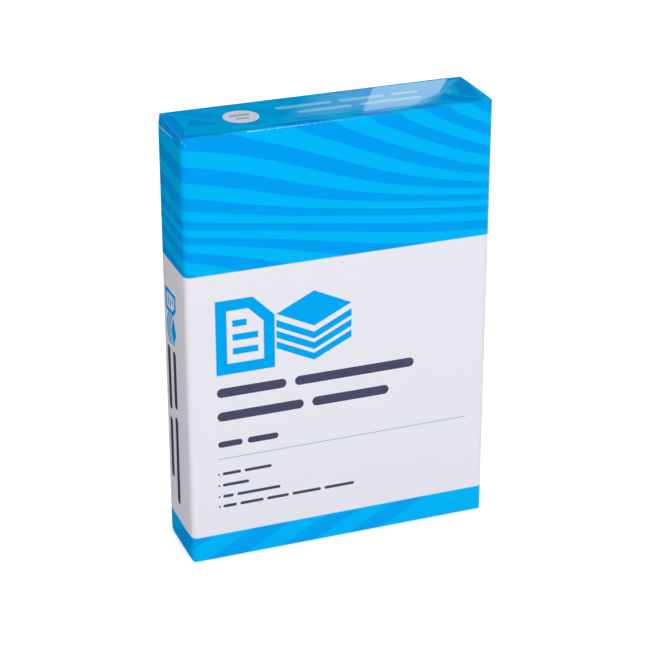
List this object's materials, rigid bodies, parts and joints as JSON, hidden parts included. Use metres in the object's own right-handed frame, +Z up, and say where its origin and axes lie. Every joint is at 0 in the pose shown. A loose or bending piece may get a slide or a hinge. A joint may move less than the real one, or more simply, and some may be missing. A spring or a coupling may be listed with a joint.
{
  "type": "ream of paper",
  "caption": "Sealed, wrapped ream of office paper standing on its short folded end: a rectangular block with rounded edges, layered end folds and a back seam.",
  "frame": {"origin": "centre of the pack's footprint, on the plane of the folded end that it stands on", "axes": "+Z up along the sheets' length; +X across the sheets' width, to the right seen from the front; +Y from the printed front to the seamed back, through the stack's thickness"},
  "size_m": [0.2106, 0.0524, 0.2997],
  "materials": {
    "wrapper": "glossy laminated wrapper printed with two blue bands and a pale panel"
  },
  "bodies": {
    "root": {"wrapped_ream": "wrapper"}
  },
  "joints": []
}
